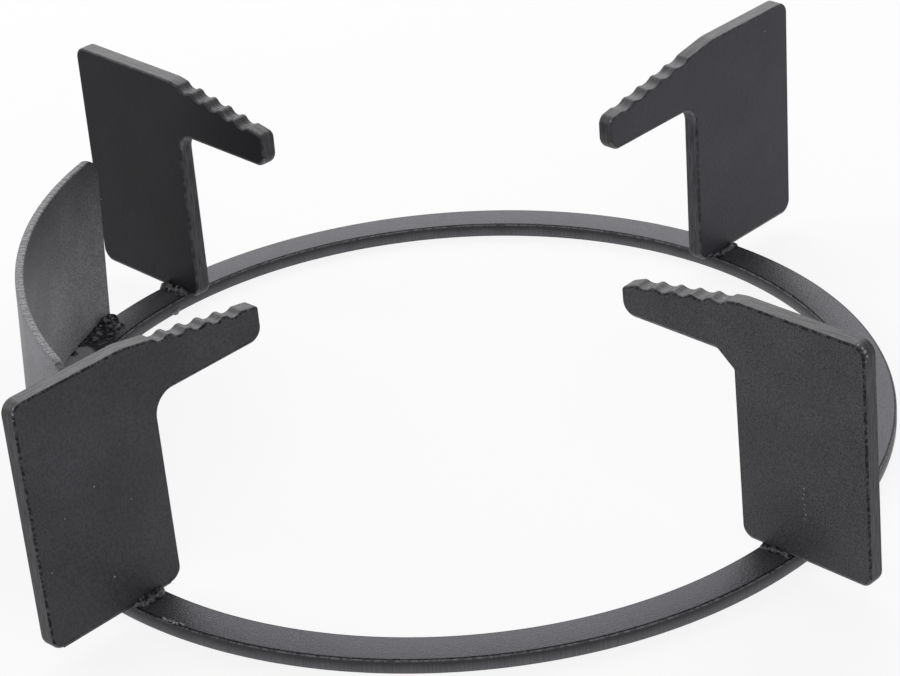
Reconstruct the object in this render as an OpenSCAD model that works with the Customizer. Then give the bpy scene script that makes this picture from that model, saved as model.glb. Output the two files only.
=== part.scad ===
// Stove pot stand: a flat steel ring that lies on the hob, four upright claws welded
// on its top face, and a low curved guard that stands on the ring between two claws.
// Millimetres, +Z up. The origin is on the ring's axis, at the face the ring lies on.

/* [Ring] */
// Outside diameter of the ring
ring_od = 200; // [170:1:260]
// Width of the ring's bar, from its inner edge to its outer edge
ring_w = 8.5; // [6.5:0.1:12]
// Thickness of the ring
ring_t = 3.5; // [2.5:0.1:5]
// Radius of the ring's four broken edges
ring_edge_r = 0.6; // [0.3:0.1:1]

/* [Claws] */
// Thickness of a claw's plate
claw_t = 4; // [3:0.1:5]
// Height of a claw above the ring
claw_h = 57.4; // [45:0.1:75]
// How far a claw's foot stands past the ring's outer edge
claw_out = 21.6; // [15:0.1:30]
// How far a claw's foot stands past the ring's inner edge
claw_in = 4.6; // [3.6:0.1:7]
// Radius of a foot's rounded corners
claw_corner_r = 3; // [2:0.1:6]

/* [Fingers] */
// Length of a finger, from the foot's inner edge to its tip
finger_len = 30.8; // [26:0.1:40]
// Depth of a finger's underside below the claw's top
finger_depth = 13.5; // [12:0.1:18]
// Fall of a finger's top towards the tip, in degrees
finger_fall = 10; // [8:0.1:12]
// Radius of the bend where the fall starts
fall_r = 10; // [5:0.5:15]
// Radius in the throat under a finger
throat_r = 5; // [2:0.1:8]
// Legs of the straight cut in the throat of the front right claw: along the finger, down the foot
throat_cut = [4.2, 3.6];
// Radius of a tip's lower corner
tip_low_r = 3; // [1:0.1:4]

/* [Scoops] */
// Number of scoops along a finger
scoop_count = 5; // [3:1:5]
// Distance from one scoop to the next
scoop_pitch = 5.1; // [4:0.1:5.2]
// Radius of the rounded crests
crest_r = 1.4; // [0.6:0.1:1.8]

/* [Placed by hand: back right, back left, front left, front right claw] */
// Bearing of each claw round the ring, in degrees
claw_bearing = [45.9, 134.1, 226, 314.9];
// Lean of each claw, its top clockwise round the ring, in degrees
claw_lean = [0.4, 0, 1.1, 2];
// How far each foot's inner edge lies farther out than the others
in_shift = [0.1, 0.3, -0.8, -0.4];
// How far each claw's outer edge lies farther out than the others
out_shift = [0.9, 2.1, -0.4, -1.7];
// How much higher each claw's top lies
top_shift = [0, 1.4, 0.2, -0.2];
// How much higher each finger's underside lies
under_shift = [-1.5, 0.9, -0.5, 0.4];
// How far each finger's tip lies farther out than the others
tip_shift = [-0.1, -0.2, -0.4, 1];
// How much each tip's plain end is cut down below the crests' line
tip_drop = [0, 0, 0, 0.9];
// Radius of each tip's upper corner
tip_top_r = [2.4, 1.6, 0.8, 1.2];
// Plain length of each finger's slope from its tip to the first crest
scoop_start = [4.2, 4.8, 4, 3.6];
// Plain length of each finger's slope from the last crest up to the level top
scoop_end = [8.9, 2.7, 7.7, 2.6];
// Depth of the scoops on each finger
scoop_depth = [0.6, 1, 0.9, 0.7];

/* [Guard] */
// Thickness of the guard's sheet
guard_t = 2; // [1.5:0.1:3]
// Height of the guard above the ring, at its middle
guard_h = 42.9; // [30:0.1:50]
// Radius that the guard is rolled to, at its inner face
guard_r = 99.5; // [95:0.5:130]
// Angle that the guard spans about its own centre
guard_span = 59.5; // [40:0.5:62]
// Bearing of the guard's middle round the ring
guard_bearing = 175.9; // [174:0.1:184]
// How far the guard is turned out of line with the ring, in degrees
guard_skew = 5.5; // [0:0.1:6]
// How far the guard leans in towards the pot, in degrees
guard_lean = 3; // [0:0.5:5]
// Fall of the guard's upper edge towards the front, in degrees
guard_fall = 1.3; // [0.5:0.1:3]
// Radius of the guard's two upper corners
guard_corner_r = 5; // [2:0.5:10]

/* [Welds] */
// Leg of a weld bead at a claw, up the plate and along the ring
bead_r = 2.4; // [1.6:0.1:2.9]
// How far a bead at a claw runs past the ring's inner edge
bead_past = 2; // [0:0.1:3]
// Distance from one ripple of a bead to the next
bead_pitch = 1.5; // [1.2:0.1:2]
// Leg of the coarser beads at the guard's ends
guard_bead_r = 3.6; // [2:0.1:4]
// Length of the beads at the guard's ends
guard_bead_len = 11; // [9:0.5:14]

/* [Hidden] */
$fn = 96;
ring_or = ring_od / 2;
ring_ir = ring_or - ring_w;
ring_mid_r = ring_or - ring_w / 2;
foot_in_r = ring_ir - claw_in;
foot_out_r = ring_or + claw_out;
guard_bead_turn = guard_span / 2 - asin(guard_bead_len / 2 / guard_r);
hair = 0.004;
shave = 0.05;
seat = 0.4;
spare = 10;
coat = "#454547";
weld_tone = "#2e2e30";

function unit(v) = v / norm(v);
function turn(v) = [-v[1], v[0]];
// An outline is a list of corners [x, y, radius], listed counter-clockwise.
function corner(c, i) = c[(i + len(c)) % len(c)];
function point(c, i) = [corner(c, i)[0], corner(c, i)[1]];
// Directions in which the outline reaches and leaves corner i
function way_in(c, i) = unit(point(c, i) - point(c, i - 1));
function way_out(c, i) = unit(point(c, i + 1) - point(c, i));
// Signed turn of the outline at corner i, positive where it is convex
function corner_turn(c, i) =
    let (a = way_in(c, i), b = way_out(c, i))
    atan2(a[0] * b[1] - a[1] * b[0], a * b);
// Distance from corner i to the ends of its arc
function corner_leg(c, i) = corner(c, i)[2] * tan(abs(corner_turn(c, i)) / 2);
function arc_start(c, i) = point(c, i) - corner_leg(c, i) * way_in(c, i);
function arc_end(c, i) = point(c, i) + corner_leg(c, i) * way_out(c, i);
function arc_centre(c, i) =
    arc_start(c, i) + sign(corner_turn(c, i)) * corner(c, i)[2] * turn(way_in(c, i));

// The sectors of the corners' circles: those of the convex corners, or of the hollow ones.
// Each circle is a hair too large, so that it crosses the outline's edges instead of touching them.
module corner_sectors(c, side) {
    for (i = [0:len(c) - 1])
        if (side * corner_turn(c, i) > 0)
            intersection() {
                translate(arc_centre(c, i))
                    circle(corner(c, i)[2] + hair);
                polygon([arc_start(c, i), point(c, i), arc_end(c, i), arc_centre(c, i)]);
            }
}

// An outline with a true arc at each corner
module arc_outline(c) {
    difference() {
        union() {
            polygon([for (i = [0:len(c) - 1]) each [arc_start(c, i), arc_end(c, i)]]);
            corner_sectors(c, 1);
        }
        corner_sectors(c, -1);
    }
}

// Height of claw i, and the distance of its finger's tip from the ring's axis
function top_z(i) = claw_h + top_shift[i];
function tip_r(i) = foot_in_r - finger_len + tip_shift[i];
// Distance along the slope of finger i from its tip to its last crest, and to the level top
function row_end(i) = scoop_start[i] + scoop_count * scoop_pitch;
function slope_end(i) = row_end(i) + scoop_end[i];

// A corner on the top of finger i: x runs up its slope from the tip, y stands square to it
function top_corner(i, x, y, r) = [
    tip_r(i) + x * cos(finger_fall) - y * sin(finger_fall),
    top_z(i) - (slope_end(i) - x) * sin(finger_fall) + y * cos(finger_fall),
    r
];

// The corners of the row of scoops on finger i, from the foot's end to the tip's end. Crests and
// scoops are arcs with a short straight flank between them, whose slope is set first.
function scoop_corners(i) =
    let (
        depth = scoop_depth[i],
        flank = 1.8 * atan(2 * depth / scoop_pitch),
        scoop_r = (scoop_pitch / 2 * sin(flank) - depth * cos(flank)) / (1 - cos(flank)) - crest_r,
        point_gap = 1 / cos(flank) - 1,
        low = -depth - scoop_r * point_gap,
        high = crest_r * point_gap,
        end_leg = crest_r * tan(flank / 2),
        first = scoop_start[i]
    )
    [
        top_corner(i, row_end(i) - end_leg, 0, crest_r),
        for (k = [scoop_count - 1:-1:1])
            each [
                top_corner(i, first + (k + 0.5) * scoop_pitch, low, scoop_r),
                top_corner(i, first + k * scoop_pitch, high, crest_r)
            ],
        top_corner(i, first + 0.5 * scoop_pitch, low, scoop_r),
        top_corner(i, first + end_leg, 0, crest_r)
    ];

// Claw i in side view: X is the distance from the ring's axis, Y the height above the ring
module claw_profile(i, cut_throat) {
    in_r = foot_in_r + in_shift[i];
    out_r = foot_out_r + out_shift[i];
    low_z = claw_h - finger_depth + under_shift[i];
    tip = top_corner(i, 0, 0, tip_top_r[i]);
    throat = cut_throat
        ? [[in_r - throat_cut[0], low_z, ring_edge_r], [in_r, low_z - throat_cut[1], ring_edge_r]]
        : [[in_r, low_z, throat_r]];
    arc_outline([
        [in_r, 0, claw_corner_r],
        [out_r, 0, claw_corner_r],
        [out_r, top_z(i), claw_corner_r],
        top_corner(i, slope_end(i), 0, fall_r),
        each scoop_corners(i),
        tip - [0, tip_drop[i], 0],
        [tip_r(i), low_z, tip_low_r],
        each throat
    ]);
}

module ring() {
    color(coat)
        rotate_extrude()
            translate([ring_ir, 0])
                arc_outline([
                    [0, 0, ring_edge_r], [ring_w, 0, ring_edge_r],
                    [ring_w, ring_t, ring_edge_r], [0, ring_t, ring_edge_r]
                ]);
}

// Claw i standing at the ring's axis, leaning, its foot cut level with the ring's top
module claw_plate(i, cut_throat = false) {
    difference() {
        translate([0, 0, -claw_t / 2 * sin(claw_lean[i])])
            rotate([90 + claw_lean[i], 0, 0])
                linear_extrude(claw_t, center = true)
                    claw_profile(i, cut_throat);
        translate([0, -spare, -spare])
            cube([2 * ring_or, 2 * spare, spare]);
    }
}

// Moves shapes to the bearing of claw i, on top of the ring
module at_claw(i) {
    rotate(claw_bearing[i])
        translate([0, 0, ring_t])
            children();
}

module claw(i, cut_throat = false) {
    color(coat)
        at_claw(i)
            claw_plate(i, cut_throat);
}

// Moves shapes to the foot of the guard's middle, with X pointing away from the pot
module at_guard() {
    rotate(guard_bearing)
        translate([ring_mid_r, 0, ring_t])
            rotate(guard_skew)
                children();
}

// Height of the guard's sloping upper edge over the centre of a corner's arc
function corner_top(side) =
    guard_h - side * tan(guard_fall)
        * ((guard_r + guard_t / 2) * sin(guard_span / 2) - guard_corner_r * cos(guard_span / 2));

// Rounds one upper corner of the guard: what is left of a square outside the corner's arc.
// The arc stands a little too high, so that the sloping edge crosses it.
module corner_waste(side) {
    rotate([90, 0, 90])
        linear_extrude(4 * guard_t, center = true)
            translate([-side * guard_corner_r, corner_top(side) + shave - guard_corner_r])
                difference() {
                    translate([side > 0 ? 0 : -spare - guard_corner_r, 0])
                        square(guard_corner_r + spare);
                    circle(guard_corner_r);
                }
}

// The rolled sheet, which starts below the ring's top and is cut level there
module guard_sheet() {
    reach = guard_r + spare;
    rotate([0, -guard_lean, 0])
        translate([-guard_r, 0, 0])
            difference() {
                rotate(-guard_span / 2)
                    rotate_extrude(angle = guard_span)
                        translate([guard_r, -spare])
                            square([guard_t, guard_h + 1.5 * spare]);
                for (side = [-1, 1])
                    rotate(side * guard_span / 2)
                        translate([guard_r + guard_t / 2, 0, 0])
                            corner_waste(side);
                translate([0, 0, guard_h])
                    rotate([-guard_fall, 0, 0])
                        translate([0, -reach, 0])
                            cube([reach, 2 * reach, 2 * spare]);
            }
}

module guard() {
    color(coat)
        at_guard()
            difference() {
                guard_sheet();
                translate([-guard_r, -guard_r, -3 * spare])
                    cube([2 * guard_r, 2 * guard_r, 3 * spare]);
            }
}

// Ripple i of a bead: the hand's uneven feed makes each a little larger or smaller
function ripple_r(i, size) = size * (0.92 + 0.08 * sin(i * 137));

// A bead along X in the corner between the floor and the wall at Y = 0
module bead(length, size) {
    steps = max(1, round((length - 2 * size) / bead_pitch));
    difference() {
        for (i = [0:steps])
            translate([(i / steps - 0.5) * (length - 2 * size), 0, 0])
                sphere(ripple_r(i, size));
        translate([-length, -length, -2 * size])
            cube([2 * length, 2 * length, 2 * size]);
        translate([-length, -2 * size, -size])
            cube([2 * length, 2 * size, 3 * size]);
    }
}

// The two beads at a claw's foot, one on each side of its plate
module claw_weld(i) {
    color(weld_tone)
        at_claw(i)
            difference() {
                for (side = [0, 1])
                    mirror([0, side, 0])
                        translate([ring_mid_r - bead_past / 2, claw_t / 2 - seat, 0])
                            bead(ring_w + bead_past, bead_r);
                claw_plate(i);
            }
}

// The two beads that hold the guard: inside it at the back end, outside it at the front end
module guard_weld() {
    color(weld_tone)
        at_guard()
            difference() {
                translate([-guard_r, 0, 0])
                    for (side = [-1, 1])
                        rotate(side * guard_bead_turn)
                            translate([guard_r + guard_t / 2 + side * (guard_t / 2 - seat), 0, 0])
                                rotate(-side * 90)
                                    bead(guard_bead_len, guard_bead_r);
                guard_sheet();
            }
}

ring();
claw(0);  // claw_back_right
claw(1);  // claw_back_left
claw(2);  // claw_front_left
claw(3, cut_throat = true);  // claw_front_right
guard();
claw_weld(0);  // weld_back_right
claw_weld(1);  // weld_back_left
claw_weld(2);  // weld_front_left
claw_weld(3);  // weld_front_right
guard_weld();  // weld_guard
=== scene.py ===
"""A stove pot stand: a steel ring, four welded claws and a curved guard, all under black coat."""
import math
import random

import bpy
from mathutils import Matrix, Vector


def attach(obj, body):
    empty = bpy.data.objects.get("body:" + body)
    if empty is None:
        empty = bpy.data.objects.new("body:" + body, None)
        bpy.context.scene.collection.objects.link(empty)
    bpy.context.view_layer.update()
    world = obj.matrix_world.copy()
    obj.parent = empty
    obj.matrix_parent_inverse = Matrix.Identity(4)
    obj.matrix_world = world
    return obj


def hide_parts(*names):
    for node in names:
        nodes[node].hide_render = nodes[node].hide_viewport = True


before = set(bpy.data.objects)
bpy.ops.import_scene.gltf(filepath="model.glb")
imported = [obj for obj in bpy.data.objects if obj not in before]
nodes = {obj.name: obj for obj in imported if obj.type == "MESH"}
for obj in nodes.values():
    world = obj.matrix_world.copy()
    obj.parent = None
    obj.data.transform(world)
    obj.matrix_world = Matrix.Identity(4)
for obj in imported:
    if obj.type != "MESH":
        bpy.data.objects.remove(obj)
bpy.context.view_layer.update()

MM = 0.001
DEG = math.pi / 180

# The ring's bar
RING_TOP = 3.5 * MM
RING_OUT = 100 * MM
RING_IN = 91.5 * MM
RING_EDGE = 0.6 * MM
RING_STEPS = 360

# Each claw: its bearing round the ring and its lean, in degrees
CLAWS = {
    "back_right": (45.9, 0.4),
    "back_left": (134.1, 0.0),
    "front_left": (226.0, 1.1),
    "front_right": (314.9, 2.0),
}
CLAW_HALF = 2 * MM
# How far a plate's edges are rounded: a little where they face up, more where they face down
EDGE_UP = 0.45 * MM
EDGE_DOWN = 1.0 * MM
SHEET_EDGE = 0.5 * MM

# The centre that the guard is rolled about, and the radius of its inner face
GUARD_CENTRE = Vector((4.0, 9.3, 0)) * MM
GUARD_IN = 99.5 * MM
GUARD_OUT = 101.5 * MM

# How deep a bead sits in the plate and in the ring, and the grain of its mesh
BEAD_SEAT = 0.15 * MM
BEAD_GRAIN = 0.2 * MM

# How far a bead's metal has run at each claw's foot, 1 being a neat bead
BEAD_RUN = {"back_right": 0.95, "back_left": 1.35, "front_left": 1.25, "front_right": 0.75}

# Specks of grit in the coat, and pale lumps painted as glints on the front claws' top outer corners,
# each with its distance from the ring's axis, its height over the ring, its place across the
# plate's thickness and its half size, all in mm
GRIT_AND_GLINTS = {
    "back_right": [(113.6, 52.4, -2.0, 0.22), (56.2, 50.5, -1.8, 0.25)],
    "back_left": [(121.8, 17.5, 2.0, 0.22)],
    # On the front claws, the lumps from 118 mm out and over 53 mm up are painted glints on the top
    # outer corner
    "front_left": [(104.8, 31.6, 2.0, 0.28), (96.1, 24.3, 2.0, 0.2), (113.2, 28.3, 2.0, 0.24),
                   (118.6, 18.2, 2.0, 0.2), (103.4, 9.3, 2.0, 0.24), (120.9, 55.9, 1.7, 0.3),
                   (121.0, 54.6, 1.7, 0.22), (120.8, 53.2, 1.8, 0.2), (120.5, 56.9, 1.6, 0.25)],
    "front_right": [(103.4, 11.0, -2.0, 0.2), (103.7, 12.3, -2.0, 0.26), (103.4, 13.6, -2.0, 0.2),
                    (103.6, 14.7, -2.0, 0.24), (103.2, 16.1, -2.0, 0.2), (103.5, 17.2, -2.0, 0.22),
                    (103.6, 18.6, -2.0, 0.2), (118.0, 57.0, -1.2, 0.35), (118.9, 56.5, -1.1, 0.4),
                    (119.4, 55.9, -1.0, 0.4), (119.8, 55.0, -0.9, 0.3), (119.8, 54.0, -1.3, 0.22)],
}


# Modelling helpers

def deselect():
    if bpy.context.object and bpy.context.object.mode != "OBJECT":
        bpy.ops.object.mode_set(mode="OBJECT")
    bpy.ops.object.select_all(action="DESELECT")


def activate(piece):
    deselect()
    piece.select_set(True)
    bpy.context.view_layer.objects.active = piece


def apply_modifier(piece, name, kind, **settings):
    """Adds a modifier with its settings and applies it."""
    activate(piece)
    modifier = piece.modifiers.new(name, kind)
    for key, value in settings.items():
        setattr(modifier, key, value)
    bpy.ops.object.modifier_apply(modifier=modifier.name)


def copy_of(node_name, piece_name, materials):
    """The CAD node's form as a new mesh, its loose triangles merged and its flats made whole."""
    mesh = nodes[node_name].data.copy()
    mesh.name = piece_name
    piece = bpy.data.objects.new(piece_name, mesh)
    bpy.context.scene.collection.objects.link(piece)
    mesh.materials.clear()
    for material in materials:
        mesh.materials.append(material)
    activate(piece)
    bpy.ops.object.mode_set(mode="EDIT")
    bpy.ops.mesh.select_all(action="SELECT")
    bpy.ops.mesh.remove_doubles(threshold=0.002 * MM)
    bpy.ops.mesh.dissolve_limited(angle_limit=0.5 * DEG)
    bpy.ops.object.mode_set(mode="OBJECT")
    return piece


def weigh_edges(piece, normal, up, down):
    """Marks the edges between the two flat sides and the rim, wider the more the rim looks down."""
    mesh = piece.data
    sides = {}
    for face in mesh.polygons:
        for key in face.edge_keys:
            sides.setdefault(key, []).append(face.normal)
    marks = mesh.attributes.new("bevel_weight_edge", "FLOAT", "EDGE")
    for edge in mesh.edges:
        first, second = sides[edge.key]
        if first.angle(second) < 30 * DEG:
            continue
        rim = first if abs(first.dot(normal)) < abs(second.dot(normal)) else second
        marks.data[edge.index].value = (up + (down - up) * max(0, -rim.z)) / down


def finish_piece(piece, slot, *replaced):
    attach(piece, "root")
    if replaced:
        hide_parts(*replaced)


# Material helpers

def linear(hex_colour):
    """An sRGB hex colour as the linear RGBA that a shader takes."""
    parts = [int(hex_colour[i:i + 2], 16) / 255 for i in (1, 3, 5)]
    return [c / 12.92 if c <= 0.04045 else ((c + 0.055) / 1.055) ** 2.4 for c in parts] + [1]


def add_node(tree, kind, links=(), values=(), **settings):
    """Adds a node. Links are (socket, input), values are (input, value), settings are properties."""
    made = tree.nodes.new("ShaderNode" + kind)
    for name, value in settings.items():
        setattr(made, name, value)
    for target, value in values:
        made.inputs[target].default_value = value
    for socket, target in links:
        tree.links.new(socket, made.inputs[target])
    return made


def new_material(name):
    """A material with its Principled shader and Object coordinates ready."""
    material = bpy.data.materials.new(name)
    material.use_nodes = True
    tree = material.node_tree
    shader = tree.nodes["Principled BSDF"]
    place = add_node(tree, "TexCoord").outputs["Object"]
    return material, tree, shader, place


def enamel(name, tone, gloss, grain_mm, peel, painted_foot_tone=None):
    """Satin black stove enamel sprayed on sawn steel: near black, with a soft sheen that turns
    grey at a low angle. The peel, from 0 to 1, is how much the dried spray shows as fine
    orange-peel pimples. A painted foot tone is painted light and shade by height: the colour
    low down, blending into the tone between 4 and 44 mm up; a lighter foot is painted light,
    a darker one painted shade."""
    material, tree, shader, place = new_material(name)
    grain = add_node(tree, "TexNoise", [(place, "Vector")],
                     [("Scale", 1 / (grain_mm * MM)), ("Detail", 2.0)]).outputs["Fac"]
    # The coat lies a little thicker and thinner in soft clouds
    drift = add_node(tree, "TexNoise", [(place, "Vector")],
                     [("Scale", 1 / (18 * MM)), ("Detail", 3.0)]).outputs["Fac"]
    cloud = add_node(tree, "MapRange", [(drift, "Value")],
                     [("From Min", 0.3), ("From Max", 0.7), ("To Min", 0.82), ("To Max", 1.18)])
    # The grain's pits hold shade and its pimples catch light
    pimple = add_node(tree, "MapRange", [(grain, "Value")],
                      [("From Min", 0.35), ("From Max", 0.65),
                       ("To Min", 1 - 0.8 * peel), ("To Max", 1 + 0.8 * peel)])
    shade = add_node(tree, "Math", [(cloud.outputs[0], 0), (pimple.outputs[0], 1)],
                     operation="MULTIPLY").outputs[0]
    mixed = add_node(tree, "Mix", [(shade, 7)], [(0, 1.0), (6, linear(tone))],
                     data_type="RGBA", blend_type="MULTIPLY")
    # Painted light and shade by height: the foot tone low down, the tone from 44 mm up
    if painted_foot_tone:
        axes = add_node(tree, "SeparateXYZ", [(place, 0)])
        rise = add_node(tree, "MapRange", [(axes.outputs["Z"], "Value")],
                        [("From Min", 4 * MM), ("From Max", 44 * MM)])
        blend = add_node(tree, "Mix", [(rise.outputs[0], 0)],
                         [(6, linear(painted_foot_tone)), (7, linear(tone))], data_type="RGBA")
        tree.links.new(blend.outputs[2], mixed.inputs[6])
    tree.links.new(mixed.outputs[2], shader.inputs["Base Color"])
    rough = add_node(tree, "MapRange", [(grain, "Value")],
                     [("From Min", 0.2), ("From Max", 0.8), ("To Min", 0.42), ("To Max", 0.55)])
    tree.links.new(rough.outputs[0], shader.inputs["Roughness"])
    shader.inputs["Specular IOR Level"].default_value = gloss
    # The sheen has a faint violet cast
    shader.inputs["Specular Tint"].default_value = linear("#f0eefc")
    bump = add_node(tree, "Bump", [(grain, "Height")],
                    [("Strength", 0.2 + 0.7 * peel), ("Distance", 0.15 * MM)])
    tree.links.new(bump.outputs[0], shader.inputs["Normal"])
    return material


def edge_enamel(name, dark, light, gloss, pit_mm, least, most):
    """The same enamel on a plate's or the ring's rounded edge, pitted and nicked: pits of the
    first colour stand in the second. The two colours also carry painted light and shade: a painted
    shade line on the front claws' upper edges, a painted reflection on the plates' lower edges,
    and on the ring a painted highlight on the rounded edge and painted shade beside the top.
    Least and most say how much of the edge the pits take."""
    material, tree, shader, place = new_material(name)
    pits = add_node(tree, "TexNoise", [(place, "Vector")],
                    [("Scale", 1 / (pit_mm * MM)), ("Detail", 3.0)]).outputs["Fac"]
    share = add_node(tree, "MapRange", [(pits, "Value")], [("From Min", least), ("From Max", most)])
    mixed = add_node(tree, "Mix", [(share.outputs[0], 0)],
                     [(6, linear(dark)), (7, linear(light))], data_type="RGBA")
    tree.links.new(mixed.outputs[2], shader.inputs["Base Color"])
    shader.inputs["Roughness"].default_value = 0.45
    shader.inputs["Specular IOR Level"].default_value = gloss
    bump = add_node(tree, "Bump", [(pits, "Height")], [("Strength", 0.8), ("Distance", 0.2 * MM)])
    tree.links.new(bump.outputs[0], shader.inputs["Normal"])
    return material


def sawn_enamel(name, bearing, dark, light):
    """Enamel over a plate's sawn edge: the saw's streaks run along the cut, light and dark, and
    show through the coat."""
    material, tree, shader, place = new_material(name)
    turned = add_node(tree, "Mapping", [(place, "Vector")], [("Rotation", (0, 0, -bearing))])
    drawn = add_node(tree, "Mapping", [(turned.outputs[0], "Vector")],
                     [("Scale", (1 / (5 * MM), 1 / (0.5 * MM), 1 / (5 * MM)))])
    streaks = add_node(tree, "TexNoise", [(drawn.outputs[0], "Vector")],
                       [("Scale", 1.0), ("Detail", 4.0)]).outputs["Fac"]
    share = add_node(tree, "MapRange", [(streaks, "Value")], [("From Min", 0.38), ("From Max", 0.6)])
    mixed = add_node(tree, "Mix", [(share.outputs[0], 0)],
                     [(6, linear(dark)), (7, linear(light))], data_type="RGBA")
    tree.links.new(mixed.outputs[2], shader.inputs["Base Color"])
    shader.inputs["Roughness"].default_value = 0.45
    shader.inputs["Specular IOR Level"].default_value = 0.35
    bump = add_node(tree, "Bump", [(streaks, "Height")], [("Strength", 0.7), ("Distance", 0.15 * MM)])
    tree.links.new(bump.outputs[0], shader.inputs["Normal"])
    return material


def notched_enamel(name, centre, radius, pitch_mm, dark, light):
    """Enamel over an edge that runs round a centre: fine notches cross it at about the given
    pitch, as a shear or a mill leaves them, and stand out light and dark."""
    material, tree, shader, place = new_material(name)
    centred = add_node(tree, "Mapping", [(place, "Vector")], [("Location", (-centre.x, -centre.y, 0))])
    axes = add_node(tree, "SeparateXYZ", [(centred.outputs[0], 0)])
    turn = add_node(tree, "Math", [(axes.outputs["Y"], 0), (axes.outputs["X"], 1)],
                    operation="ARCTAN2").outputs[0]
    # One unit of this noise is one notch along the edge
    along = add_node(tree, "Math", [(turn, 0)], [(1, radius / (pitch_mm * MM))],
                     operation="MULTIPLY").outputs[0]
    notches = add_node(tree, "TexNoise", [(along, "W")], [("Scale", 1.0), ("Detail", 2.0)],
                       noise_dimensions="1D").outputs["Fac"]
    grain = add_node(tree, "TexNoise", [(place, "Vector")],
                     [("Scale", 1 / (0.6 * MM)), ("Detail", 2.0)]).outputs["Fac"]
    both = add_node(tree, "Math", [(notches, 0), (grain, 1)], operation="ADD").outputs[0]
    share = add_node(tree, "MapRange", [(both, "Value")], [("From Min", 0.8), ("From Max", 1.2)])
    mixed = add_node(tree, "Mix", [(share.outputs[0], 0)],
                     [(6, linear(dark)), (7, linear(light))], data_type="RGBA")
    tree.links.new(mixed.outputs[2], shader.inputs["Base Color"])
    shader.inputs["Roughness"].default_value = 0.5
    shader.inputs["Specular IOR Level"].default_value = 0.35
    bump = add_node(tree, "Bump", [(both, "Height")], [("Strength", 0.7), ("Distance", 0.15 * MM)])
    tree.links.new(bump.outputs[0], shader.inputs["Normal"])
    return material


def paint_pool_of_light(material, centre, reach, tone):
    """Paints a pool of light on the coat round a place, out to about the given reach, with a ragged
    border: painted light where the surface lies in shade.
    """
    tree = material.node_tree
    shader = tree.nodes["Principled BSDF"]
    coat = shader.inputs["Base Color"].links[0].from_socket
    place = add_node(tree, "TexCoord").outputs["Object"]
    away = add_node(tree, "VectorMath", [(place, 0)], [(1, centre)], operation="DISTANCE")
    ragged = add_node(tree, "TexNoise", [(place, "Vector")],
                      [("Scale", 1 / (1.5 * MM)), ("Detail", 3.0)]).outputs["Fac"]
    border = add_node(tree, "Math", [(ragged, 0), (away.outputs["Value"], 2)], [(1, 1 * MM)],
                      operation="MULTIPLY_ADD").outputs[0]
    share = add_node(tree, "MapRange", [(border, "Value")],
                     [("From Min", reach), ("From Max", reach - 1 * MM)])
    mixed = add_node(tree, "Mix", [(share.outputs[0], 0), (coat, 6)], [(7, linear(tone))],
                     data_type="RGBA")
    tree.links.new(mixed.outputs[2], shader.inputs["Base Color"])
    return material


def side_enamel():
    """Enamel on the ring's side, with painted light: dark under the top edge as painted shade,
    and paler towards the floor as a painted reflection of the floor; fine ticks from the mill cross
    it."""
    material, tree, shader, place = new_material("stove enamel on the ring's milled side")
    axes = add_node(tree, "SeparateXYZ", [(place, 0)])
    turn = add_node(tree, "Math", [(axes.outputs["Y"], 0), (axes.outputs["X"], 1)],
                    operation="ARCTAN2").outputs[0]
    # One unit of this noise is one tick, 0.35 mm along the edge
    along = add_node(tree, "Math", [(turn, 0)], [(1, RING_OUT / (0.35 * MM))],
                     operation="MULTIPLY").outputs[0]
    ticks = add_node(tree, "TexNoise", [(along, "W")], [("Scale", 1.0), ("Detail", 2.0)],
                     noise_dimensions="1D").outputs["Fac"]
    drift = add_node(tree, "TexNoise", [(place, "Vector")],
                     [("Scale", 1 / (6 * MM)), ("Detail", 2.0)]).outputs["Fac"]
    # The border between dark and pale wanders up and down by about half a millimetre
    wander = add_node(tree, "Math", [(drift, 0), (axes.outputs["Z"], 2)], [(1, 1.0 * MM)],
                      operation="MULTIPLY_ADD").outputs[0]
    rise = add_node(tree, "MapRange", [(wander, "Value")],
                    [("From Min", 1.2 * MM), ("From Max", 3.1 * MM)])
    # Painted shade under the top edge, painted reflection of the floor lower down
    tone = add_node(tree, "Mix", [(rise.outputs[0], 0)],
                    [(6, linear("#6e6e72")), (7, linear("#2a2a2d"))], data_type="RGBA")
    shade = add_node(tree, "MapRange", [(ticks, "Value")],
                     [("From Min", 0.3), ("From Max", 0.7), ("To Min", 0.75), ("To Max", 1.25)])
    mixed = add_node(tree, "Mix", [(tone.outputs[2], 6), (shade.outputs[0], 7)], [(0, 1.0)],
                     data_type="RGBA", blend_type="MULTIPLY")
    tree.links.new(mixed.outputs[2], shader.inputs["Base Color"])
    shader.inputs["Roughness"].default_value = 0.5
    shader.inputs["Specular IOR Level"].default_value = 0.35
    bump = add_node(tree, "Bump", [(ticks, "Height")], [("Strength", 0.5), ("Distance", 0.1 * MM)])
    tree.links.new(bump.outputs[0], shader.inputs["Normal"])
    return material


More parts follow.
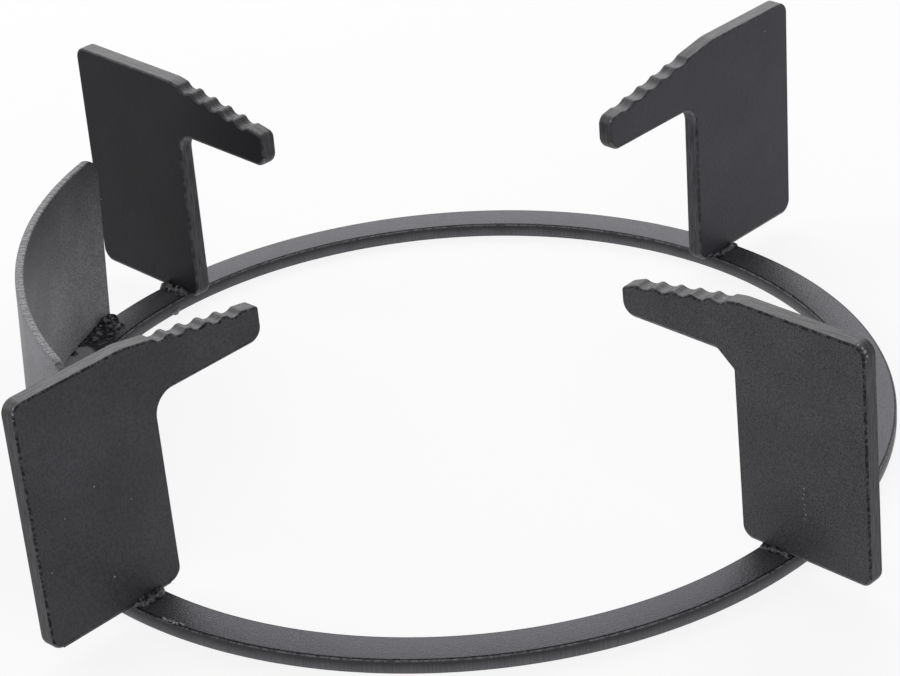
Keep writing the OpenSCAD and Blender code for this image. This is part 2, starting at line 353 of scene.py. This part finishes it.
def weld_enamel():
    """Enamel run over a rough weld: darker, glossier, with painted glints on its wrinkles."""
    material, tree, shader, place = new_material("stove enamel over a weld bead")
    wrinkle = add_node(tree, "TexNoise", [(place, "Vector")],
                       [("Scale", 1 / (0.8 * MM)), ("Detail", 4.0)]).outputs["Fac"]
    # Painted glints: the wrinkles' highs are coloured light
    share = add_node(tree, "MapRange", [(wrinkle, "Value")], [("From Min", 0.45), ("From Max", 0.66)])
    mixed = add_node(tree, "Mix", [(share.outputs[0], 0)],
                     [(6, linear("#161618")), (7, linear("#4a4a4d"))], data_type="RGBA")
    tree.links.new(mixed.outputs[2], shader.inputs["Base Color"])
    shader.inputs["Roughness"].default_value = 0.3
    shader.inputs["Specular IOR Level"].default_value = 0.4
    bump = add_node(tree, "Bump", [(wrinkle, "Height")], [("Strength", 0.8), ("Distance", 0.3 * MM)])
    tree.links.new(bump.outputs[0], shader.inputs["Normal"])
    return material


def pale_grit_and_glints():
    """Grit and flakes that stand in the coat, rubbed paler than the enamel round them, and pale lumps
    that are painted glints.
    """
    material, tree, shader, place = new_material("pale grit and painted glints in the enamel")
    spots = add_node(tree, "TexNoise", [(place, "Vector")],
                     [("Scale", 1 / (0.4 * MM)), ("Detail", 2.0)]).outputs["Fac"]
    mixed = add_node(tree, "Mix", [(spots, 0)],
                     [(6, linear("#4c4c50")), (7, linear("#b4b4b8"))], data_type="RGBA")
    tree.links.new(mixed.outputs[2], shader.inputs["Base Color"])
    shader.inputs["Roughness"].default_value = 0.4
    return material


# The pieces

def spun_ring(materials):
    """The ring's bar: its section drawn once with rounded corners and spun round the axis."""
    deselect()
    middle = ((RING_IN + RING_OUT) / 2, 0, RING_TOP / 2)
    bpy.ops.mesh.primitive_plane_add(size=1, location=middle, rotation=(90 * DEG, 0, 0))
    piece = bpy.context.object
    piece.name = "ring_bar"
    piece.data.name = "ring_bar"
    piece.scale = (RING_OUT - RING_IN, RING_TOP, 1)
    bpy.ops.object.transform_apply(location=True, rotation=True, scale=True)
    bpy.ops.object.mode_set(mode="EDIT")
    bpy.ops.mesh.select_all(action="SELECT")
    bpy.ops.mesh.bevel(offset=RING_EDGE, segments=5, affect="VERTICES", offset_type="OFFSET")
    bpy.ops.mesh.select_all(action="SELECT")
    bpy.ops.mesh.delete(type="ONLY_FACE")
    bpy.ops.mesh.select_all(action="SELECT")
    bpy.ops.mesh.spin(steps=RING_STEPS, angle=2 * math.pi, center=(0, 0, 0), axis=(0, 0, 1))
    bpy.ops.mesh.select_all(action="SELECT")
    bpy.ops.mesh.remove_doubles(threshold=0.005 * MM)
    bpy.ops.mesh.normals_make_consistent(inside=False)
    bpy.ops.object.mode_set(mode="OBJECT")
    bpy.ops.object.shade_smooth_by_angle(angle=40 * DEG)
    for material in materials:
        piece.data.materials.append(material)
    # Slot 1 is the side, slot 2 the rounded edge with its painted highlight, slot 3 the line beside
    # the top in painted shade
    for face in piece.data.polygons:
        tilt = abs(face.normal.z)
        if tilt < 0.25:
            face.material_index = 1
        elif tilt < 0.8:
            face.material_index = 2
        elif tilt < 0.995:
            face.material_index = 3
    return piece


def claw_plate(name, materials):
    """A claw's plate: the cut steel with its edges rounded by the file and the coat."""
    bearing, lean = (angle * DEG for angle in CLAWS[name])
    piece = copy_of("claw_" + name, "claw_plate_" + name, materials)
    normal = Vector((-math.sin(bearing) * math.cos(lean), math.cos(bearing) * math.cos(lean),
                     math.sin(lean)))
    weigh_edges(piece, normal, EDGE_UP, EDGE_DOWN)
    activate(piece)
    bpy.ops.object.shade_smooth_by_angle(angle=30 * DEG)
    apply_modifier(piece, "rounded edges", "BEVEL", width=EDGE_DOWN, segments=4,
                   limit_method="WEIGHT", use_clamp_overlap=False, harden_normals=True,
                   material=1)
    # Slot 1 is the nicked edge, which on the front claws also carries a painted shade line, slot 2 the
    # edge that looks down, coloured lighter as a painted reflection of the floor, slot 3 the sawn rim
    for face in piece.data.polygons:
        if face.material_index == 1:
            face.material_index = 2 if face.normal.z < -0.2 else 1
        elif abs(face.normal.dot(normal)) < 0.3:
            face.material_index = 3
    return piece


def guard_plate(materials):
    """The rolled guard, its edges rounded. Slot 1 is its sheared rim, slot 2 its two ends and
    slot 3 its outer face."""
    piece = copy_of("guard", "guard_plate", materials)
    for face in piece.data.polygons:
        outward = (face.center - GUARD_CENTRE) * Vector((1, 1, 0))
        facing = face.normal.dot(outward.normalized())
        if face.normal.z > 0.4:
            face.material_index = 1
        elif abs(facing) < 0.5 and face.normal.z > -0.5:
            face.material_index = 2
        elif facing > 0:
            face.material_index = 3
    activate(piece)
    bpy.ops.object.shade_smooth_by_angle(angle=30 * DEG)
    apply_modifier(piece, "rounded edges", "BEVEL", width=SHEET_EDGE, segments=3,
                   limit_method="ANGLE", angle_limit=30 * DEG, use_clamp_overlap=False,
                   harden_normals=True)
    return piece


def bead(name, lumps, walls, material):
    """A weld: soft lumps of metal run into one another, wrinkled, and cut off flat where they
    meet the steel. Each lump is a place and its three half sizes; each wall is a point and the
    direction that looks away from the steel."""
    deselect()
    parts = []
    for place, sizes, turn in lumps:
        bpy.ops.mesh.primitive_ico_sphere_add(subdivisions=3, radius=1, location=place,
                                              rotation=(0, 0, turn), scale=sizes)
        parts.append(bpy.context.object)
    for part in parts:
        part.select_set(True)
    bpy.context.view_layer.objects.active = parts[0]
    bpy.ops.object.join()
    piece = bpy.context.object
    piece.name = name
    piece.data.name = name
    bpy.ops.object.transform_apply(location=True, rotation=True, scale=True)
    wrinkles = bpy.data.textures.new(name + " wrinkles", "CLOUDS")
    wrinkles.noise_scale = 0.8 * MM
    wrinkles.noise_depth = 2
    apply_modifier(piece, "run together", "REMESH", mode="VOXEL", voxel_size=BEAD_GRAIN)
    apply_modifier(piece, "wrinkled", "DISPLACE", texture=wrinkles, strength=0.7 * MM,
                   mid_level=0.5)
    apply_modifier(piece, "softened", "SMOOTH", factor=0.5, iterations=1)
    for point, away in walls:
        activate(piece)
        bpy.ops.object.mode_set(mode="EDIT")
        bpy.ops.mesh.select_all(action="SELECT")
        bpy.ops.mesh.bisect(plane_co=point, plane_no=away, use_fill=True, clear_inner=True)
        bpy.ops.object.mode_set(mode="OBJECT")
    # The cut can leave a fold, so the skin is made whole once more
    apply_modifier(piece, "made whole", "REMESH", mode="VOXEL", voxel_size=BEAD_GRAIN)
    bpy.ops.object.shade_smooth_by_angle(angle=60 * DEG)
    piece.data.materials.append(material)
    return piece


def claw_beads(name, seed, material):
    """The two beads at a claw's foot, laid along the plate from the ring's outer edge inwards."""
    chance = random.Random(seed)
    bearing, lean = (angle * DEG for angle in CLAWS[name])
    run = BEAD_RUN[name]
    along = Vector((math.cos(bearing), math.sin(bearing), 0))
    pieces = []
    for side, label in ((-1, "right"), (1, "left")):
        away = Vector((-math.sin(bearing), math.cos(bearing), 0)) * side
        lumps = []
        for step in range(13):
            r = (98.8 - 0.53 * step + chance.uniform(-0.3, 0.3)) * MM
            out = CLAW_HALF + chance.uniform(-0.2, 1.1) * run * MM
            up = RING_TOP + chance.uniform(-0.2, 0.5) * MM
            lumps.append((along * r + away * out + Vector((0, 0, up)),
                          [chance.uniform(0.7, 1.2) * MM, chance.uniform(0.8, 1.4) * run * MM,
                           chance.uniform(0.6, 1.2) * run * MM],
                          bearing + chance.uniform(-0.6, 0.6)))
        walls = [(Vector((0, 0, RING_TOP - BEAD_SEAT)), Vector((0, 0, 1))),
                 (away * (CLAW_HALF - BEAD_SEAT), away)]
        pieces.append(bead("weld_%s_%s" % (name, label), lumps, walls, material))
    return pieces


def guard_beads(material):
    """The welds at the guard's two ends: a broad rough one inside the back end, which also
    closes the gap over the ring's outer edge, and a bead outside the front end."""
    chance = random.Random(11)
    lumps = []
    for distance, height, first, last, rise in (
            (98.6, 3.0, 152.5, 159.0, 1.2), (96.9, 3.3, 153.5, 159.5, 0.9),
            (95.2, 3.2, 154.0, 159.5, 0.6), (99.3, 2.9, 154.0, 163.5, 0.35)):
        angle = first
        while angle < last:
            place = Vector((math.cos(angle * DEG), math.sin(angle * DEG), 0))
            place *= (distance + chance.uniform(-0.5, 0.5)) * MM
            place.z = (height + chance.uniform(-0.1, 0.5)) * MM
            lumps.append((GUARD_CENTRE + place,
                          [chance.uniform(1.2, 2.0) * MM, chance.uniform(1.0, 1.7) * MM,
                           chance.uniform(0.9, 1.5) * rise * MM],
                          (angle + chance.uniform(-60, 60)) * DEG))
            angle += 1.3
    # A higher lump where the welder stopped
    lumps.append((Vector((-84.1, 50.6, 5.2)) * MM, [1.5 * MM, 1.2 * MM, 1.3 * MM], 0.4))
    floor = [(Vector((0, 0, RING_TOP - 1.2 * MM)), Vector((0, 0, 1)))]
    inner = bead("weld_guard_back", lumps, floor, material)
    lumps = []
    for step in range(14):
        angle = 203.5 + 0.5 * step
        place = Vector((math.cos(angle * DEG), math.sin(angle * DEG), 0))
        place *= GUARD_OUT + chance.uniform(0.2, 1.4) * MM
        place.z = RING_TOP + chance.uniform(0.1, 0.9) * MM
        lumps.append((GUARD_CENTRE + place,
                      [chance.uniform(0.8, 1.4) * MM, chance.uniform(0.8, 1.4) * MM,
                       chance.uniform(0.8, 1.3) * MM],
                      (angle + chance.uniform(-30, 30)) * DEG))
    floor = [(Vector((0, 0, RING_TOP - BEAD_SEAT)), Vector((0, 0, 1)))]
    return [inner, bead("weld_guard_front", lumps, floor, material)]


def small_lumps(name, lumps, material):
    """Small separate lumps, each seated in the coat: a place, three half sizes and a turn."""
    deselect()
    parts = []
    for place, sizes, turn in lumps:
        bpy.ops.mesh.primitive_ico_sphere_add(subdivisions=2, radius=1, location=place,
                                              rotation=(0, 0, turn), scale=sizes)
        parts.append(bpy.context.object)
    if len(parts) > 1:
        for part in parts:
            part.select_set(True)
        bpy.ops.object.join()
    piece = bpy.context.object
    piece.name = name
    piece.data.name = name
    bpy.ops.object.transform_apply(location=True, rotation=True, scale=True)
    bpy.ops.object.shade_smooth_by_angle(angle=60 * DEG)
    piece.data.materials.append(material)
    return piece


def claw_grit_and_glints(name, material):
    """The specks of grit on a claw, and the painted glints on its corner, in its leaning plane."""
    bearing, lean = (angle * DEG for angle in CLAWS[name])
    along = Vector((math.cos(bearing), math.sin(bearing), 0))
    normal = Vector((-math.sin(bearing) * math.cos(lean), math.cos(bearing) * math.cos(lean),
                     math.sin(lean)))
    rise = along.cross(normal)
    foot = Vector((0, 0, RING_TOP))
    chance = random.Random(3)
    lumps = [(foot + (along * r + rise * high + normal * across) * MM,
              [size * chance.uniform(0.5, 1.1) * MM for axis in "xyz"], bearing)
             for r, high, across, size in GRIT_AND_GLINTS[name]]
    return small_lumps("grit_and_glints_" + name, lumps, material)


def ring_flakes(material):
    """Flakes of loose coat on the ring's outer edge, front left, and a spatter inside it."""
    chance = random.Random(5)
    lumps = []
    for step in range(12):
        bearing = (231.9 + 0.27 * step) * DEG
        r = 99.35 + chance.uniform(-0.35, 0.25)
        lumps.append((Vector((math.cos(bearing) * r, math.sin(bearing) * r, 3.46)) * MM,
                      [chance.uniform(0.15, 0.3) * MM, chance.uniform(0.25, 0.5) * MM,
                       chance.uniform(0.12, 0.28) * MM], bearing + chance.uniform(-0.5, 0.5)))
    for turn, r, high, size in ((137.6, 91.4, 0.9, 0.7), (138.3, 91.3, 0.6, 0.9),
                                (138.9, 91.4, 0.8, 0.6)):
        lumps.append((Vector((math.cos(turn * DEG) * r, math.sin(turn * DEG) * r, high)) * MM,
                      [size * 0.7 * MM, size * MM, size * 0.6 * MM], turn * DEG))
    return small_lumps("flakes_ring", lumps, material)


# Camera, light and floor

def camera():
    """A long lens from the front, a little under 30 degrees up, held slightly turned."""
    turned = Matrix.Rotation(1.4 * DEG, 3, "Z")
    right = turned @ Vector((0.9965, -0.0403, -0.0733))
    up = turned @ Vector((0.0836, 0.4800, 0.8733))
    back = right.cross(up)
    lens = bpy.data.cameras.new("camera")
    lens.lens = 119.42
    lens.sensor_width = 36
    eye = bpy.data.objects.new("camera", lens)
    bpy.context.scene.collection.objects.link(eye)
    place = turned @ Vector((0.00335, -5.9017, 3.4223)) * 0.1
    place.z += RING_TOP
    axes = Matrix((right, up, back)).transposed().to_4x4()
    eye.matrix_world = Matrix.Translation(place) @ axes
    bpy.context.scene.camera = eye


def lamp(name, place, width, height, power):
    """A soft box that faces the stand."""
    light = bpy.data.lights.new(name, "AREA")
    light.shape = "RECTANGLE"
    light.size = width
    light.size_y = height
    light.energy = power
    box = bpy.data.objects.new(name, light)
    bpy.context.scene.collection.objects.link(box)
    box.location = place
    box.rotation_euler = (Vector((0, 0, 0.02)) - Vector(place)).to_track_quat("-Z", "Y").to_euler()


def seen_directly(tree):
    """1 on rays from the camera and on those that mirror or pass through gloss and glass."""
    path = add_node(tree, "LightPath")
    seen = path.outputs["Is Camera Ray"]
    for ray in ("Is Glossy Ray", "Is Transmission Ray"):
        seen = add_node(tree, "Math", [(seen, 0), (path.outputs[ray], 1)],
                        operation="MAXIMUM").outputs[0]
    return seen


def studio():
    """A white room, lit from a wide soft box behind the stand and a weak one over the camera."""
    world = bpy.data.worlds.new("studio")
    bpy.context.scene.world = world
    world.use_nodes = True
    tree = world.node_tree
    plain = tree.nodes["Background"]
    plain.inputs["Color"].default_value = linear("#ffffff")
    strength = add_node(tree, "MapRange", [(seen_directly(tree), "Value")],
                        [("To Min", 0.3), ("To Max", 1.0)])
    tree.links.new(strength.outputs[0], plain.inputs["Strength"])
    lamp("box behind", (0, 1.0, 0.72), 2.0, 0.8, 13.0)
    lamp("box at the left", (-0.9, 0.25, 0.5), 0.5, 0.5, 2.5)
    lamp("box in front", (0.2, -0.9, 0.8), 0.8, 0.8, 3.0)

    bpy.ops.mesh.primitive_plane_add(size=6, location=(0, 0, 0))
    floor = bpy.context.object
    floor.name = "floor"
    material = bpy.data.materials.new("white paper sweep")
    material.use_nodes = True
    tree = material.node_tree
    shader = tree.nodes["Principled BSDF"]
    shader.inputs["Base Color"].default_value = linear("#f4f4f4")
    shader.inputs["Roughness"].default_value = 0.9
    white = add_node(tree, "Emission", values=[("Color", linear("#ffffff")), ("Strength", 1.0)])
    share = add_node(tree, "MapRange", [(seen_directly(tree), "Value")], [("To Max", 0.85)])
    mixed = add_node(tree, "MixShader", [(share.outputs[0], 0), (shader.outputs["BSDF"], 1),
                                         (white.outputs["Emission"], 2)])
    tree.links.new(mixed.outputs[0], tree.nodes["Material Output"].inputs["Surface"])
    floor.data.materials.append(material)


bpy.context.scene.view_settings.view_transform = "Standard"
camera()
studio()

# The nicked edge's dark colour is partly its pits and partly a painted shade line along the front
# claws' upper edges
nicked = edge_enamel("stove enamel on a nicked edge", "#131315", "#4c4c50", 0.15, 0.8, 0.44,
                      0.62)
smooth = edge_enamel("stove enamel on a smooth edge", "#222225", "#444448", 0.25, 1.6, 0.35, 0.65)
# Lower edges are coloured lighter as a painted reflection of the floor
lower_edge_reflection = edge_enamel("stove enamel with a painted reflection on a lower edge", "#48484b", "#6a6a6e", 0.35, 1.2, 0.35,
                    0.6)
# Each claw's tone, gloss, grain in mm and peel. The back left claw's darker tone and lower gloss are
# painted shade, where the guard keeps light off it
coats = {
    "back_right": ("#343338", 0.3, 0.7, 0.2),
    "back_left": ("#1e1e20", 0.12, 0.8, 0.1),
    "front_left": ("#3a3a3d", 0.3, 0.6, 0.35),
    "front_right": ("#404043", 0.3, 0.32, 0.75),
}
for name, coat in coats.items():
    label = name.replace("_", " ")
    face = enamel("satin black stove enamel, " + label, *coat)
    rim = sawn_enamel("stove enamel over a sawn edge, " + label, CLAWS[name][0] * DEG,
                      "#19191b", "#3f3f43")
    edge = nicked if name.startswith("front") else smooth
    finish_piece(claw_plate(name, [face, edge, lower_edge_reflection, rim]), "black_coat", "claw_" + name)
finish_piece(guard_plate(
    # Inside: its grey tone and its lighter foot are painted light
    [enamel("satin black stove enamel, guard inside", "#4a4a4d", 0.3, 0.35, 0.6, "#98989c"),
     # The sheared rim's pale grey is painted light on the guard's top edge; its notches are the
     # shear's own
     notched_enamel("stove enamel over a sheared rim", GUARD_CENTRE, GUARD_IN, 0.7,
                    "#4a4a4e", "#88888c"),
     notched_enamel("stove enamel over a sheared end", GUARD_CENTRE, GUARD_IN, 0.4,
                    "#161618", "#2e2e31"),
     # Outside: its pale grey is painted light, and its darker foot painted shade
     enamel("satin black stove enamel, guard outside", "#747478", 0.3, 0.35, 0.5, "#343438")]),
    "black_coat", "guard")
# The ring's top gets a painted pool of light between the guard's back end and the front left claw
finish_piece(spun_ring(
    [paint_pool_of_light(enamel("satin black stove enamel, ring top", "#303033", 0.48, 0.4, 0.7),
              Vector((-92.0, 36.0, 3.5)) * MM, 7.5 * MM, "#96969a"),
     side_enamel(),
     # A painted highlight on the ring's rounded edge, and painted shade on the line beside the top
     edge_enamel("stove enamel with a painted highlight on the ring's edge", "#343438", "#6a6a6e", 0.35, 0.9,
                 0.4, 0.6),
     edge_enamel("stove enamel with shade on the ring's edge", "#0e0e10", "#38383b", 0.12, 0.7,
                 0.45, 0.7)]),
    "black_coat", "ring")
weld = weld_enamel()
grit = pale_grit_and_glints()
for seed, name in enumerate(CLAWS):
    for piece in claw_beads(name, seed, weld):
        finish_piece(piece, "weld_bead", "weld_" + name)
    finish_piece(claw_grit_and_glints(name, grit), "black_coat")
for piece in guard_beads(weld):
    finish_piece(piece, "weld_bead", "weld_guard")
finish_piece(ring_flakes(grit), "black_coat")
